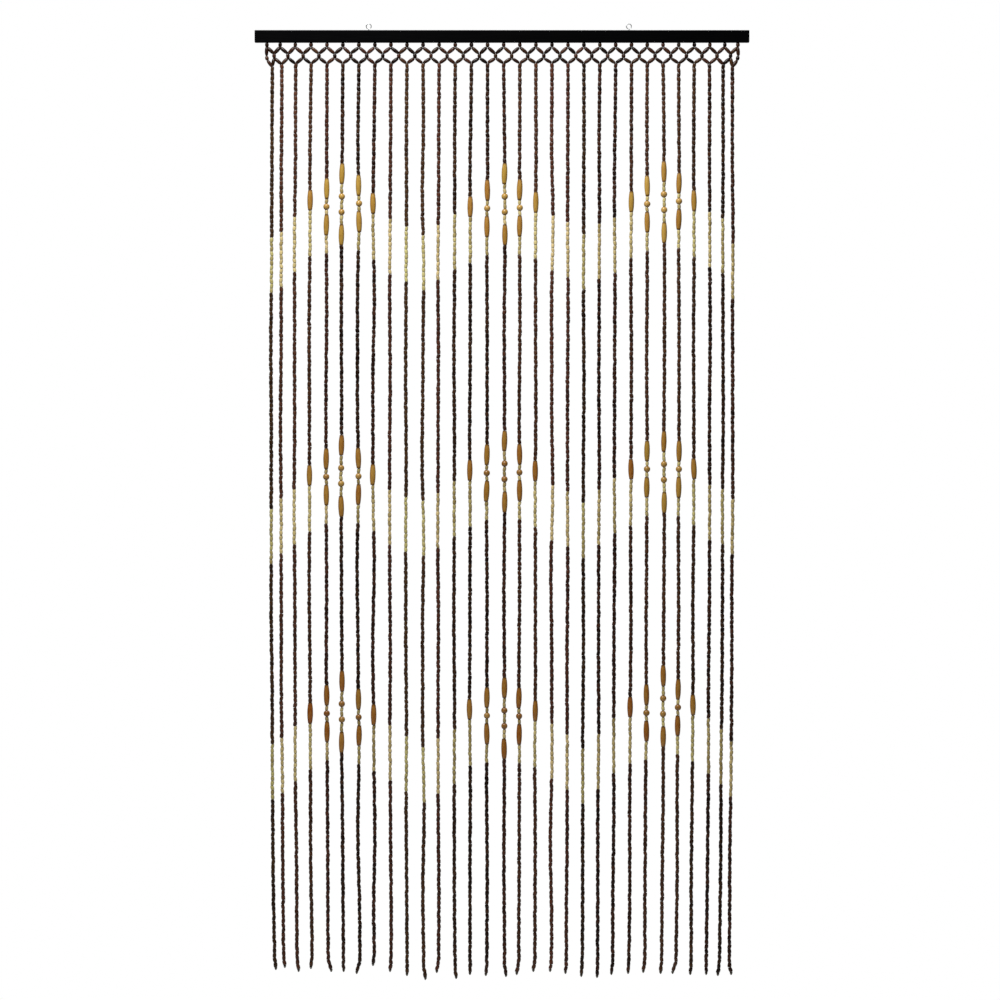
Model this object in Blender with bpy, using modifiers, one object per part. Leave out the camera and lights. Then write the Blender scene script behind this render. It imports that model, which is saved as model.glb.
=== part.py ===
"""Bead curtain on a head rail.

Thirty-one strings of wooden beads hang from a net of beads under a painted
batten, which has two wire eyes in its top. Metres, +Z up, front towards -Y.
The origin is the centre of the batten's back face.
"""
import bpy
import bmesh
import math
from collections import namedtuple

# Head rail, a straight wooden batten
RAIL_LENGTH = 0.900
RAIL_HEIGHT = 0.022
RAIL_DEPTH = 0.012
RAIL_EDGE = 0.0012
STRING_LINE = -RAIL_DEPTH / 2
STRING_HOLE_RADIUS = 0.0019
STRING_HOLE_DEPTH = 0.0090
STRING_HOLE_SIDES = 6
EYE_HOLE_RADIUS = 0.0014
EYE_HOLE_DEPTH = 0.0110
EYE_HOLE_SIDES = 8

# Wire eyes, screwed into the top of the rail
EYE_LEFT_X = -0.2425
EYE_RIGHT_X = 0.2310
EYE_RING_RADIUS = 0.0045
EYE_WIRE_RADIUS = 0.0008
EYE_NECK_RADIUS = 0.0018
EYE_HEIGHT = 0.0074
EYE_SHANK_DEPTH = 0.0095
EYE_BUTT_ANGLE = math.radians(24)
EYE_RING_STEPS = 22
EYE_NECK_STEPS = 5

# Header, a net of long thin beads that hangs from the rail
STRANDS = 31
STRAND_PITCH = 0.0290
DRIFT = 0.0040
DRIFT_CENTRE = 20
DRIFT_WIDTH = 9
EDGE_FALL = 0.3
HANGER_DRAW = 0.0070
CROSSING_DRAW = 0.0022
STRAND_DRAW = 0.0170
STRAND_SAG = 0.0063
HANGER_Z = -0.0193
CROSSING_TOP_Z = -0.0315
CROSSING_FOOT_Z = -0.0390
STRAND_TOP_Z = -0.0488
SIDE_UPPER_Z = -0.0350
SIDE_UPPER_OUT = 0.0008
SIDE_LOWER_Z = -0.0440
SIDE_LOWER_OUT = -0.0012
HANGER_STUB_RADIUS = 0.00125
HANGER_STUB_TOP_Z = -0.0050
HANGER_CLEARANCE = 0.0004
NET_BEAD_RADIUS = 0.0044
NET_KNOT_RADIUS = 0.0023
NET_TURN = math.radians(45)
NET_FORWARD = 0.00015
HUNG_BEAD_RADIUS = 0.0031
HUNG_KNOT_RADIUS = 0.0013
KNOT_OVERLAP = 0.0004
KNOT_SHIFT = 0.0002

# Strands of beads
SMALL_PITCH = 0.0084
SMALL_RADIUS = 0.0031
WAIST_RADIUS = 0.0021
LONG_TAPER = 0.0050
STATION_SPACING = 0.230
END_TURN_LENGTH = 0.0300

# A bead's length along its string, and its radius
Bead = namedtuple("Bead", "length radius")
BEADS = {
    "n": Bead(length=SMALL_PITCH, radius=SMALL_RADIUS),
    "o": Bead(length=0.0378, radius=0.0049),
    "r": Bead(length=0.0116, radius=0.0057),
}

# The motif that a strand holds three times, read downwards, by its distance from the
# nearest of the motif's centres
MOTIF_CENTRES = (5, 15, 25)
MOTIFS = (
    "onnrnnrnno", "onrnonnnn", "onnnnnnnnnn", "nnnnnnnnnnnn", "nnnnnnnnnnnn", "nnnnnnnnnnnn",
)

# How each strand was strung by hand, from the left: the length of its brown beads above
# each of its three motifs, the height of its end, and how far it hangs to the right of
# its even place and its last beads turn to the right
String = namedtuple("String", "above_first above_second above_third end_z aside end_turn")
STRINGS = (
    String(0.311, 0.393, 0.327, -1.6981, 0.0003, 0.0029),
    String(0.305, 0.384, 0.335, -1.6944, 0.0008, 0.0029),
    String(0.279, 0.395, 0.330, -1.7017, -0.0001, 0.0035),
    String(0.230, 0.379, 0.311, -1.6962, -0.0010, -0.0035),
    String(0.209, 0.354, 0.293, -1.7017, 0.0008, 0.0067),
    String(0.182, 0.345, 0.280, -1.7017, -0.0008, 0.0009),
    String(0.203, 0.359, 0.301, -1.7053, -0.0001, -0.0075),
    String(0.236, 0.372, 0.315, -1.6908, -0.0011, -0.0049),
    String(0.283, 0.392, 0.328, -1.7017, -0.0003, -0.0029),
    String(0.297, 0.391, 0.335, -1.7090, -0.0004, -0.0013),
    String(0.313, 0.382, 0.348, -1.7163, 0.0011, 0.0038),
    String(0.294, 0.387, 0.346, -1.7035, -0.0006, -0.0040),
    String(0.275, 0.385, 0.350, -1.7144, -0.0007, 0.0029),
    String(0.242, 0.358, 0.313, -1.7072, -0.0015, 0.0000),
    String(0.212, 0.344, 0.304, -1.7090, -0.0001, -0.0027),
    String(0.182, 0.337, 0.300, -1.7108, 0.0022, 0.0038),
    String(0.211, 0.344, 0.306, -1.7072, 0.0002, -0.0055),
    String(0.234, 0.367, 0.315, -1.7017, -0.0001, -0.0035),
    String(0.277, 0.390, 0.333, -1.7017, 0.0004, -0.0029),
    String(0.289, 0.389, 0.342, -1.7053, -0.0002, -0.0025),
    String(0.311, 0.388, 0.346, -1.7108, -0.0004, -0.0016),
    String(0.292, 0.383, 0.344, -1.7126, -0.0013, -0.0009),
    String(0.281, 0.373, 0.336, -1.7072, -0.0020, -0.0035),
    String(0.233, 0.365, 0.311, -1.7053, -0.0009, -0.0020),
    String(0.204, 0.345, 0.306, -1.7035, -0.0009, -0.0040),
    String(0.178, 0.342, 0.277, -1.7053, 0.0019, -0.0018),
    String(0.199, 0.350, 0.296, -1.7053, -0.0001, -0.0078),
    String(0.231, 0.366, 0.308, -1.7072, -0.0015, -0.0015),
    String(0.270, 0.396, 0.324, -1.7072, 0.0000, -0.0007),
    String(0.280, 0.392, 0.336, -1.7090, -0.0013, -0.0044),
    String(0.322, 0.364, 0.340, -1.7072, -0.0005, 0.0055),
)

# How the strands hang away from plumb, at the left and the right of the curtain
SWAY_FOOT_Z = -1.7040
LEAN_LEFT = 0.0034
LEAN_RIGHT = -0.0060
BOW_LEFT = -0.0043
BOW_RIGHT = 0.0035
LONG_WAVE = 0.45
SHORT_WAVE = 0.25
PLAIN_SWAY = 0.0004
LOOSE_SWAY = 0.0011
LOOSE_STRANDS = (6, 7, 10, 18)

HALF_HEIGHT = RAIL_HEIGHT / 2
EYE_CENTRE_Z = HALF_HEIGHT + EYE_HEIGHT


def remove_everything():
    for obj in list(bpy.data.objects):
        bpy.data.objects.remove(obj)


def new_collection(name):
    collection = bpy.data.collections.new(name)
    bpy.context.scene.collection.children.link(collection)
    return collection


def plain_material(name, colour, roughness, metallic=0.0):
    material = bpy.data.materials.new(name)
    material.use_nodes = True
    shader = material.node_tree.nodes["Principled BSDF"]
    shader.inputs["Base Color"].default_value = (*colour, 1.0)
    shader.inputs["Roughness"].default_value = roughness
    shader.inputs["Metallic"].default_value = metallic
    material.diffuse_color = (*colour, 1.0)
    return material


def poly_curve(name, runs, bevel_resolution, closed=False, turn=0.0):
    """A curve object with one straight-sided tube for each run of (point, radius)."""
    curve = bpy.data.curves.new(name, "CURVE")
    curve.dimensions = "3D"
    curve.bevel_depth = 1.0
    curve.bevel_resolution = bevel_resolution
    curve.use_fill_caps = not closed
    for run in runs:
        spline = curve.splines.new("POLY")
        spline.points.add(len(run) - 1)
        spline.use_cyclic_u = closed
        for place, (point, radius) in zip(spline.points, run):
            place.co = (*point, 1.0)
            place.radius = radius
            place.tilt = turn
    obj = bpy.data.objects.new(name, curve)
    bpy.context.scene.collection.objects.link(obj)
    return obj


def mesh_from_curve(curve_object, collection):
    """The curve's tubes as one mesh object, with their end caps welded on."""
    name = curve_object.name
    bpy.context.view_layer.update()
    depsgraph = bpy.context.evaluated_depsgraph_get()
    mesh = bpy.data.meshes.new_from_object(curve_object.evaluated_get(depsgraph))
    shape = bmesh.new()
    shape.from_mesh(mesh)
    bmesh.ops.remove_doubles(shape, verts=shape.verts, dist=0.00001)
    shape.to_mesh(mesh)
    shape.free()
    place = curve_object.matrix_world.copy()
    bpy.data.objects.remove(curve_object)
    obj = bpy.data.objects.new(name, mesh)
    obj.matrix_world = place
    collection.objects.link(obj)
    return obj


def hide_helper(obj):
    obj.hide_render = True
    obj.display_type = "WIRE"


def strand_distance(strand):
    """How many strands away the nearest motif centre is."""
    return min(abs(strand - centre) for centre in MOTIF_CENTRES)


def plumb_x(strand):
    """A strand's place along the rail, if the net did not pull its edges in.

    The holes in the rail drift a little to the right of an even pitch.
    """
    drift = DRIFT * math.exp(-((strand - DRIFT_CENTRE) / DRIFT_WIDTH) ** 2)
    return (strand - (STRANDS - 1) / 2) * STRAND_PITCH + drift


def edge_pull(strand):
    """The share of the edge's pull that reaches a strand, + to the right, - to the left."""
    from_left = EDGE_FALL ** strand
    from_right = EDGE_FALL ** (STRANDS - 1 - strand)
    return from_left - from_right


def hanger_x(strand):
    return plumb_x(strand) + HANGER_DRAW * edge_pull(strand)


def crossing_x(gap):
    middle = (hanger_x(gap) + hanger_x(gap + 1)) / 2
    return middle + CROSSING_DRAW * edge_pull(gap + 0.5)


def strand_top(strand):
    """The x and z of the point of the net that a strand hangs from."""
    x = plumb_x(strand) + STRAND_DRAW * edge_pull(strand)
    z = STRAND_TOP_Z - STRAND_SAG * abs(edge_pull(strand))
    return x, z


def sway(strand, z):
    """How far the strand stands from its top's plumb line at a height."""
    top = strand_top(strand)[1]
    share = (top - z) / (top - SWAY_FOOT_Z)
    side = strand / (STRANDS - 1)
    lean = LEAN_LEFT + (LEAN_RIGHT - LEAN_LEFT) * side
    bow = BOW_LEFT + (BOW_RIGHT - BOW_LEFT) * side
    size = LOOSE_SWAY if strand in LOOSE_STRANDS else PLAIN_SWAY
    long_wave = math.sin(math.tau * z / LONG_WAVE + 2.1 * strand)
    short_wave = math.sin(math.tau * z / SHORT_WAVE + 3.7 * strand)
    fade_in = min(1.0, share * 10)
    own = (STRINGS[strand].aside + size * (long_wave + 0.5 * short_wave)) * fade_in
    return lean * share + bow * 4 * share * (1 - share) + own


def end_turn(strand, z):
    """How far the last beads of a strand turn aside at a height."""
    share = max(0.0, 1 - (z - STRINGS[strand].end_z) / END_TURN_LENGTH)
    return STRINGS[strand].end_turn * share ** 2


def bead_swelling(letter, z):
    """Heights and radii where a large bead makes the string thicker."""
    bead = BEADS[letter]
    foot = z - bead.length
    if letter == "o":
        return [
            (z, WAIST_RADIUS),
            (z - LONG_TAPER, bead.radius),
            (foot + LONG_TAPER, bead.radius),
            (foot, WAIST_RADIUS),
        ]
    if letter == "r":
        return [(z, WAIST_RADIUS), ((z + foot) / 2, bead.radius), (foot, WAIST_RADIUS)]
    return []


def swellings(strand):
    """Heights and radii at every large bead of a strand, read downwards."""
    z = strand_top(strand)[1]
    string = STRINGS[strand]
    found = []
    for brown_length in (string.above_first, string.above_second, string.above_third):
        z -= brown_length
        for letter in MOTIFS[strand_distance(strand)]:
            found += bead_swelling(letter, z)
            z -= BEADS[letter].length
    return found


def strand_stations(strand):
    """Heights and radii along a whole strand: its swellings, and plain stations between."""
    top = strand_top(strand)[1]
    end = STRINGS[strand].end_z
    marks = [(top + KNOT_OVERLAP, HUNG_KNOT_RADIUS), (top - SMALL_PITCH / 2, SMALL_RADIUS)]
    marks += swellings(strand)
    marks += [(end + END_TURN_LENGTH * share, SMALL_RADIUS) for share in (1.0, 0.5)]
    marks.append((end, WAIST_RADIUS))
    stations = [marks[0]]
    for z, radius in marks[1:]:
        last_z = stations[-1][0]
        gap = last_z - z
        pieces = math.ceil(gap / STATION_SPACING)
        for step in range(1, pieces):
            stations.append((last_z - gap * step / pieces, SMALL_RADIUS))
        if gap < 0.0001:
            stations[-1] = (z, radius)
        else:
            stations.append((z, radius))
    return stations


def strand_run(strand):
    x = strand_top(strand)[0] + KNOT_SHIFT
    return [
        ((x + sway(strand, z) + end_turn(strand, z), STRING_LINE, z), radius)
        for z, radius in strand_stations(strand)
    ]


def hanger_run(strand):
    """A stub in the rail's hole, and the bead that hangs below it."""
    x = hanger_x(strand) + KNOT_SHIFT
    face_z = -HALF_HEIGHT - HANGER_CLEARANCE
    return [
        ((x, STRING_LINE, HANGER_STUB_TOP_Z), HANGER_STUB_RADIUS),
        ((x, STRING_LINE, face_z), HANGER_STUB_RADIUS),
        ((x, STRING_LINE, face_z - HUNG_BEAD_RADIUS), HUNG_BEAD_RADIUS),
        ((x, STRING_LINE, HANGER_Z - KNOT_OVERLAP), HUNG_KNOT_RADIUS),
    ]


def crossing_run(gap):
    """The short bead that ties the upper and the lower half of the net."""
    x = crossing_x(gap) + KNOT_SHIFT
    middle_z = (CROSSING_TOP_Z + CROSSING_FOOT_Z) / 2
    return [
        ((x, STRING_LINE, CROSSING_TOP_Z + KNOT_OVERLAP), HUNG_KNOT_RADIUS),
        ((x, STRING_LINE, middle_z), HUNG_BEAD_RADIUS),
        ((x, STRING_LINE, CROSSING_FOOT_Z - KNOT_OVERLAP), HUNG_KNOT_RADIUS),
    ]


def side_knots(strand, outward):
    """The two knots of the run of beads down one side of the net, from the top."""
    x = hanger_x(strand)
    return [
        (x + outward * SIDE_UPPER_OUT, SIDE_UPPER_Z), (x + outward * SIDE_LOWER_OUT, SIDE_LOWER_Z),
    ]


def net_knots():
    """The x and z of the net's knots, in one closed round: along the top, down, back and up."""
    last = STRANDS - 1
    knots = []
    for strand in range(STRANDS):
        knots.append((hanger_x(strand), HANGER_Z))
        if strand < last:
            knots.append((crossing_x(strand), CROSSING_TOP_Z))
    knots += side_knots(last, 1)
    for strand in reversed(range(STRANDS)):
        knots.append(strand_top(strand))
        if strand > 0:
            knots.append((crossing_x(strand - 1), CROSSING_FOOT_Z))
    knots += reversed(side_knots(0, -1))
    return knots


def net_run():
    """The net's closed round, thin at each knot and thick at each bead's middle."""
    knots = net_knots()
    y = STRING_LINE - NET_FORWARD
    run = []
    for (x, z), (next_x, next_z) in zip(knots, knots[1:] + knots[:1]):
        run.append(((x, y, z), NET_KNOT_RADIUS))
        run.append((((x + next_x) / 2, y, (z + next_z) / 2), NET_BEAD_RADIUS))
    return run


def make_bead_strings(collection, helpers, material):
    """The net and all the strands as one solid."""
    net = poly_curve("bead_strings", [net_run()], bevel_resolution=0, closed=True, turn=NET_TURN)
    strings = mesh_from_curve(net, collection)
    runs = [hanger_run(strand) for strand in range(STRANDS)]
    runs += [crossing_run(gap) for gap in range(STRANDS - 1)]
    runs += [strand_run(strand) for strand in range(STRANDS)]
    hanging = poly_curve("hanging_runs", runs, bevel_resolution=0)
    hanging_mesh = mesh_from_curve(hanging, helpers)
    hide_helper(hanging_mesh)
    join = strings.modifiers.new("join the hanging runs", "BOOLEAN")
    join.operation = "UNION"
    join.solver = "EXACT"
    join.object = hanging_mesh
    strings.data.materials.append(material)


def add_drill(shape, x, face_z, direction, depth, radius, sides):
    """One drill of a cutter, from outside the rail's face into the wood."""
    overshoot = 0.001
    drill = bmesh.ops.create_cone(
        shape,
        cap_ends=True,
        segments=sides,
        radius1=radius,
        radius2=radius,
        depth=depth + overshoot,
    )
    middle_z = face_z + direction * (depth - overshoot) / 2
    bmesh.ops.translate(shape, verts=drill["verts"], vec=(x, STRING_LINE, middle_z))


def make_rail_drills(helpers):
    """The cutter for the string holes below and the eye holes above."""
    shape = bmesh.new()
    for strand in range(STRANDS):
        add_drill(
            shape, hanger_x(strand) + KNOT_SHIFT, -HALF_HEIGHT, 1,
            STRING_HOLE_DEPTH, STRING_HOLE_RADIUS, STRING_HOLE_SIDES,
        )
    for x in (EYE_LEFT_X, EYE_RIGHT_X):
        add_drill(shape, x, HALF_HEIGHT, -1, EYE_HOLE_DEPTH, EYE_HOLE_RADIUS, EYE_HOLE_SIDES)
    mesh = bpy.data.meshes.new("rail_drills")
    shape.to_mesh(mesh)
    shape.free()
    drills = bpy.data.objects.new("rail_drills", mesh)
    helpers.objects.link(drills)
    hide_helper(drills)
    return drills


def make_head_rail(collection, helpers, material):
    shape = bmesh.new()
    bmesh.ops.create_cube(shape, size=1.0)
    bmesh.ops.scale(shape, verts=shape.verts, vec=(RAIL_LENGTH, RAIL_DEPTH, RAIL_HEIGHT))
    bmesh.ops.translate(shape, verts=shape.verts, vec=(0, STRING_LINE, 0))
    mesh = bpy.data.meshes.new("head_rail")
    shape.to_mesh(mesh)
    shape.free()
    rail = bpy.data.objects.new("head_rail", mesh)
    collection.objects.link(rail)
    edges = rail.modifiers.new("eased edges", "BEVEL")
    edges.width = RAIL_EDGE
    edges.segments = 2
    holes = rail.modifiers.new("string and eye holes", "BOOLEAN")
    holes.operation = "DIFFERENCE"
    holes.solver = "EXACT"
    holes.object = make_rail_drills(helpers)
    mesh.materials.append(material)


def eye_points():
    """The wire's path from the foot of its shank, round a neck and into the ring."""
    reach = EYE_RING_RADIUS + EYE_NECK_RADIUS
    start = -math.acos(EYE_NECK_RADIUS / reach)
    neck_z = reach * math.sin(start)
    points = [(0.0, -EYE_HEIGHT - EYE_SHANK_DEPTH)]
    for step in range(EYE_NECK_STEPS):
        angle = math.pi + start * step / EYE_NECK_STEPS
        turn = (EYE_NECK_RADIUS * (1 + math.cos(angle)), neck_z + EYE_NECK_RADIUS * math.sin(angle))
        points.append(turn)
    end = 1.5 * math.pi - EYE_BUTT_ANGLE
    for step in range(EYE_RING_STEPS + 1):
        angle = start + (end - start) * step / EYE_RING_STEPS
        points.append((EYE_RING_RADIUS * math.cos(angle), EYE_RING_RADIUS * math.sin(angle)))
    return points


def make_eye(name, x, collection, material):
    run = [
        ((x + across, STRING_LINE, EYE_CENTRE_Z + up), EYE_WIRE_RADIUS)
        for across, up in eye_points()
    ]
    eye = mesh_from_curve(poly_curve(name, [run], bevel_resolution=2), collection)
    eye.data.shade_smooth()
    eye.data.set_sharp_from_angle(angle=math.radians(50))
    eye.data.materials.append(material)


def make_curtain():
    remove_everything()
    curtain = new_collection("bead_curtain")
    helpers = new_collection("cutters_and_guides")
    painted = plain_material("black painted wood", (0.006, 0.007, 0.007), 0.45)
    steel = plain_material("bright steel wire", (0.62, 0.63, 0.62), 0.30, 1.0)
    beads = plain_material("dark stained wooden beads", (0.055, 0.022, 0.014), 0.35)
    make_head_rail(curtain, helpers, painted)
    make_eye("eye_left", EYE_LEFT_X, curtain, steel)
    make_eye("eye_right", EYE_RIGHT_X, curtain, steel)
    make_bead_strings(curtain, helpers, beads)


make_curtain()
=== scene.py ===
"""Bead curtain on a head rail.

Thirty-one strings of wooden beads hang from a net of beads under a black
batten with two wire eyes. Metres, +Z up, front towards -Y. The origin is the
centre of the batten's back face.
"""
import math
from collections import namedtuple

import bpy
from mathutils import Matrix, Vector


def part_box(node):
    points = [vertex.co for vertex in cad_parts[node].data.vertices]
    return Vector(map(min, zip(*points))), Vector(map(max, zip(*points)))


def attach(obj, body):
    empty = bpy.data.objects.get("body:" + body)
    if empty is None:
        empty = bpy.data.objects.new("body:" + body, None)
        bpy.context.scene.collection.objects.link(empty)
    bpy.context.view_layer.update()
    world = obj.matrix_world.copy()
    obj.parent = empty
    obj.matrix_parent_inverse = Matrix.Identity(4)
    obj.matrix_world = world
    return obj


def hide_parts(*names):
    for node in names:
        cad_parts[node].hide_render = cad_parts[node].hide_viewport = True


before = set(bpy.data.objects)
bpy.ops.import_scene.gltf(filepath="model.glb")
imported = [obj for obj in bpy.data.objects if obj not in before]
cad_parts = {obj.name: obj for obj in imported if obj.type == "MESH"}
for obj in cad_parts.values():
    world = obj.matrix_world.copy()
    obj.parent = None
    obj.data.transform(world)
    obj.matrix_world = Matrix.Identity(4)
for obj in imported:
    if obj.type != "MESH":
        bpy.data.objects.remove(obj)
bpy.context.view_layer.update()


# HEAD RAIL
# A planed softwood batten with eased edges, painted satin black by brush.
# The holes in its underside take the net's threads, those in its top the eyes.

RAIL_BOTTOM_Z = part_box("head_rail")[0][2]
RAIL_TOP_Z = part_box("head_rail")[1][2]
STRING_LINE = -0.006


def linear_colour(code):
    """An sRGB hex colour as linear red, green, blue and alpha."""
    shares = [int(code[place:place + 2], 16) / 255 for place in (0, 2, 4)]
    linear = [s / 12.92 if s <= 0.04045 else ((s + 0.055) / 1.055) ** 2.4 for s in shares]
    return (*linear, 1.0)


def add_node(tree, kind, inputs=(), **settings):
    """A node with its settings; each input gets a value, or a link from another node's output."""
    node = tree.nodes.new(kind)
    for setting, value in settings.items():
        setattr(node, setting, value)
    for socket, value in dict(inputs).items():
        if isinstance(value, bpy.types.NodeSocket):
            tree.links.new(value, node.inputs[socket])
        else:
            node.inputs[socket].default_value = value
    return node


def new_material(name, plain_sockets):
    """A material whose Principled shader has these plain values, and its node tree and shader."""
    material = bpy.data.materials.new(name)
    material.use_nodes = True
    shader = material.node_tree.nodes["Principled BSDF"]
    for socket, value in plain_sockets.items():
        shader.inputs[socket].default_value = value
    return material, material.node_tree, shader


def satin_black_paint():
    """Satin black brushed paint on pine: almost black, with soft highlights that the
    brush marks along the batten break up. Real bristle marks are 0.3 mm apart and are
    drawn 1.2 mm apart, so that they show."""
    material, tree, shader = new_material(
        "satin black painted pine", {"IOR": 1.5, "Specular IOR Level": 0.04},
    )
    place = add_node(tree, "ShaderNodeTexCoord").outputs["Object"]
    marks_at = add_node(tree, "ShaderNodeMapping", {"Vector": place, "Scale": (25, 800, 800)})
    marks = add_node(
        tree, "ShaderNodeTexNoise",
        {"Vector": marks_at.outputs[0], "Scale": 1.0, "Detail": 3.0, "Roughness": 0.6},
    )
    cloud = add_node(tree, "ShaderNodeTexNoise", {"Vector": place, "Scale": 14.0, "Detail": 2.0})
    colour = add_node(
        tree, "ShaderNodeMix",
        {0: cloud.outputs[0], 6: linear_colour("000001"), 7: linear_colour("020202")},
        data_type="RGBA",
    )
    gloss = add_node(
        tree, "ShaderNodeMapRange", {"Value": marks.outputs[0], "To Min": 0.28, "To Max": 0.46},
    )
    relief = add_node(
        tree, "ShaderNodeBump",
        {"Height": marks.outputs[0], "Strength": 0.35, "Distance": 0.0002},
    )
    tree.links.new(colour.outputs[2], shader.inputs["Base Color"])
    tree.links.new(gloss.outputs[0], shader.inputs["Roughness"])
    tree.links.new(relief.outputs[0], shader.inputs["Normal"])
    return material


paint = satin_black_paint()
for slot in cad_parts["head_rail"].material_slots:
    slot.material = paint


# WIRE EYES
# Two small eyes of zinc-plated steel wire, bent into a ring whose end butts on
# the neck. Their threaded shanks are screwed into the batten's top.

EYE_PLACES = {"eye_left": -0.2425, "eye_right": 0.2310}
EYE_RING_RADIUS = 0.0045
EYE_WIRE_RADIUS = 0.0008
EYE_NECK_RADIUS = 0.0018
EYE_HEIGHT = 0.0074
EYE_SHANK_DEPTH = 0.0095
EYE_BUTT_ANGLE = math.radians(24)
EYE_THREAD_PITCH = 0.0009
EYE_THREAD_RADIUS = 0.00022
EYE_THREAD_TOP = -EYE_HEIGHT + 0.0004
EYE_THREAD_STEPS = 12
EYE_NECK_STEPS = 10
EYE_RING_STEPS = 48


def eye_wire_path():
    """Across and up places from the foot of the shank, round the neck and into the ring."""
    reach = EYE_RING_RADIUS + EYE_NECK_RADIUS
    start = -math.acos(EYE_NECK_RADIUS / reach)
    end = 1.5 * math.pi - EYE_BUTT_ANGLE
    neck_z = reach * math.sin(start)
    path = [(0.0, -EYE_HEIGHT - EYE_SHANK_DEPTH), (0.0, -EYE_HEIGHT)]
    for step in range(EYE_NECK_STEPS):
        angle = math.pi + start * step / EYE_NECK_STEPS
        path.append((
            EYE_NECK_RADIUS * (1 + math.cos(angle)), neck_z + EYE_NECK_RADIUS * math.sin(angle),
        ))
    for step in range(EYE_RING_STEPS + 1):
        angle = start + (end - start) * step / EYE_RING_STEPS
        path.append((EYE_RING_RADIUS * math.cos(angle), EYE_RING_RADIUS * math.sin(angle)))
    return path


def eye_thread_path():
    """The ridge of the screw thread, wound up the shank."""
    turns = (EYE_SHANK_DEPTH - 0.0010) / EYE_THREAD_PITCH
    steps = int(turns * EYE_THREAD_STEPS)
    path = []
    for step in range(steps + 1):
        angle = math.tau * turns * step / steps
        z = EYE_THREAD_TOP - EYE_THREAD_PITCH * turns * (1 - step / steps)
        path.append((EYE_WIRE_RADIUS * math.cos(angle), EYE_WIRE_RADIUS * math.sin(angle), z))
    return path


def tube_mesh(name, paths):
    """One mesh of round tubes, each given as its path and radius."""
    curve = bpy.data.curves.new(name, "CURVE")
    curve.dimensions = "3D"
    curve.bevel_depth = 1.0
    curve.bevel_resolution = 4
    curve.use_fill_caps = True
    for path, radius in paths:
        spline = curve.splines.new("POLY")
        spline.points.add(len(path) - 1)
        for point, place in zip(spline.points, path):
            point.co = (*place, 1.0)
            point.radius = radius
    guide = bpy.data.objects.new(name, curve)
    bpy.context.scene.collection.objects.link(guide)
    depsgraph = bpy.context.evaluated_depsgraph_get()
    mesh = bpy.data.meshes.new_from_object(guide.evaluated_get(depsgraph))
    bpy.data.objects.remove(guide)
    return mesh


def zinc_plated_steel():
    """Bright zinc-plated steel wire: a cool pale grey metal, its plating slightly clouded
    in patches about 1 mm across."""
    material, tree, shader = new_material("zinc-plated steel wire", {"Metallic": 1.0})
    place = add_node(tree, "ShaderNodeTexCoord").outputs["Object"]
    cloud = add_node(tree, "ShaderNodeTexNoise", {"Vector": place, "Scale": 900.0, "Detail": 4.0})
    colour = add_node(
        tree, "ShaderNodeMix",
        {0: cloud.outputs[0], 6: linear_colour("9da1a3"), 7: linear_colour("d5d7d6")},
        data_type="RGBA",
    )
    gloss = add_node(
        tree, "ShaderNodeMapRange", {"Value": cloud.outputs[0], "To Min": 0.22, "To Max": 0.42},
    )
    tree.links.new(colour.outputs[2], shader.inputs["Base Color"])
    tree.links.new(gloss.outputs[0], shader.inputs["Roughness"])
    return material


zinc = zinc_plated_steel()
for eye_name, eye_x in EYE_PLACES.items():
    centre_z = RAIL_TOP_Z + EYE_HEIGHT
    wire = [(eye_x + across, STRING_LINE, centre_z + up) for across, up in eye_wire_path()]
    ridge = [(eye_x + x, STRING_LINE + y, centre_z + z) for x, y, z in eye_thread_path()]
    mesh = tube_mesh(eye_name + "_wire", [(wire, EYE_WIRE_RADIUS), (ridge, EYE_THREAD_RADIUS)])
    mesh.shade_smooth()
    mesh.materials.append(zinc)
    eye = bpy.data.objects.new(eye_name + "_wire", mesh)
    bpy.context.scene.collection.objects.link(eye)
    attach(eye, "root")
    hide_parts(eye_name)


# HEADER NET
# Long and short oval beads of dark stained wood, strung two diamonds high.
# Each short bead under the rail carries a pair of long ones, and each lower
# meeting point carries a string.

STRANDS = 31
STRAND_PITCH = 0.0290
DRIFT = 0.0040
DRIFT_CENTRE = 20
DRIFT_WIDTH = 9
EDGE_FALL = 0.3
HANGER_DRAW = 0.0070
CROSSING_DRAW = 0.0022
STRAND_DRAW = 0.0170
STRAND_SAG = 0.0063
HANGER_Z = -0.0193
CROSSING_TOP_Z = -0.0315
CROSSING_FOOT_Z = -0.0390
STRAND_TOP_Z = -0.0488
SIDE_UPPER_Z = -0.0350
SIDE_UPPER_OUT = 0.0008
SIDE_LOWER_Z = -0.0440
SIDE_LOWER_OUT = -0.0012
KNOT_SHIFT = 0.0002
CRISP_ANGLE = 0.75
NET_BEADS = {
    "header_upper_beads": {"Length": 0.0170, "Width": 0.0071, "Seed": 11},
    "header_lower_beads": {"Length": 0.0160, "Width": 0.0068, "Seed": 12},
    "header_short_beads": {"Length": 0.0081, "Width": 0.0070, "Seed": 13},
}


def plumb_x(strand):
    """A strand's place along the rail, whose holes drift to the right of an even pitch."""
    drift = DRIFT * math.exp(-((strand - DRIFT_CENTRE) / DRIFT_WIDTH) ** 2)
    return (strand - (STRANDS - 1) / 2) * STRAND_PITCH + drift


def edge_pull(strand):
    """The share of the net's pull at its sides that reaches a strand."""
    return EDGE_FALL ** strand - EDGE_FALL ** (STRANDS - 1 - strand)


def hanger_x(strand):
    return plumb_x(strand) + HANGER_DRAW * edge_pull(strand)


def crossing_x(gap):
    middle = (hanger_x(gap) + hanger_x(gap + 1)) / 2
    return middle + CROSSING_DRAW * edge_pull(gap + 0.5)


def strand_top(strand):
    """The x and z of the meeting point that a strand hangs from."""
    x = plumb_x(strand) + STRAND_DRAW * edge_pull(strand)
    z = STRAND_TOP_Z - STRAND_SAG * abs(edge_pull(strand))
    return x, z


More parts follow.
